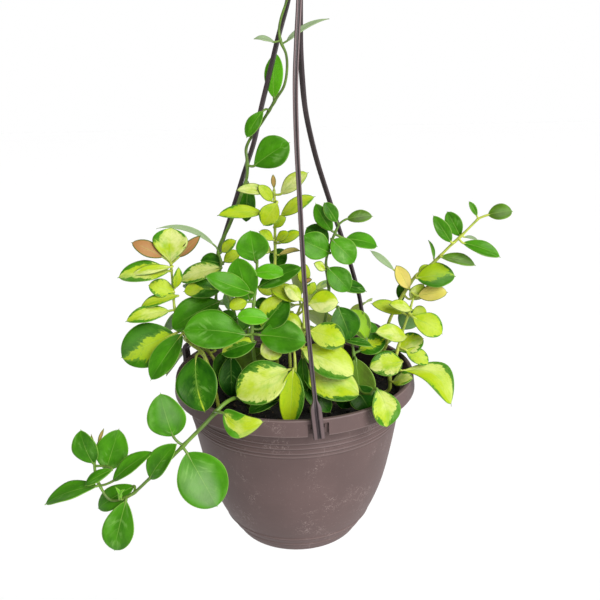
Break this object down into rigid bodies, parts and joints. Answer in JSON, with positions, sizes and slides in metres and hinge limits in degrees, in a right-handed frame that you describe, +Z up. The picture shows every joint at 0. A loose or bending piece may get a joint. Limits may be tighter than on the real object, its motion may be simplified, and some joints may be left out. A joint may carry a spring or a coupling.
{
  "type": "potted climbing plant in a hanging pot",
  "caption": "Potted variegated wax plant in a round hanging pot, with leafy stems over the rim, a climbing stem and a slim-armed hanger with a hook.",
  "frame": {"origin": "centre of the pot's underside", "axes": "+Z up, -Y towards the viewer in front, +X to the viewer's right"},
  "size_m": [0.362, 0.2866, 0.5196],
  "materials": {
    "pot": "matte moulded plastic with fine scuffs",
    "soil": "rough dark potting mix",
    "hanger": "satin moulded plastic",
    "green_leaf": "smooth waxy leaf",
    "variegated_leaf": "smooth waxy leaf in lime, cream and green"
  },
  "bodies": {
    "root": {"pot": "pot", "soil": "soil", "hanger_hook": "hanger", "hanger_arm_front": "hanger", "hanger_arm_right": "hanger", "hanger_arm_left": "hanger", "leafy_stem_trailing": "green_leaf", "leafy_stem_left": "variegated_leaf", "leafy_stem_left_inner": "variegated_leaf", "leafy_stem_centre": "green_leaf", "leafy_stem_front": "variegated_leaf", "leafy_stem_tall": "variegated_leaf", "leafy_stem_middle": "variegated_leaf", "leafy_stem_upright": "green_leaf", "leafy_stem_right_inner": "green_leaf", "leafy_stem_right_low": "variegated_leaf", "leafy_stem_right_high": "variegated_leaf", "climbing_stem": "green_leaf", "leafy_stem_back_left": "green_leaf", "leafy_stem_back_middle": "variegated_leaf", "leafy_stem_left_side": "variegated_leaf", "leafy_stem_right_side": "green_leaf", "leafy_stem_back_trailing_left": "green_leaf", "leafy_stem_back_trailing_right": "variegated_leaf"}
  },
  "joints": []
}
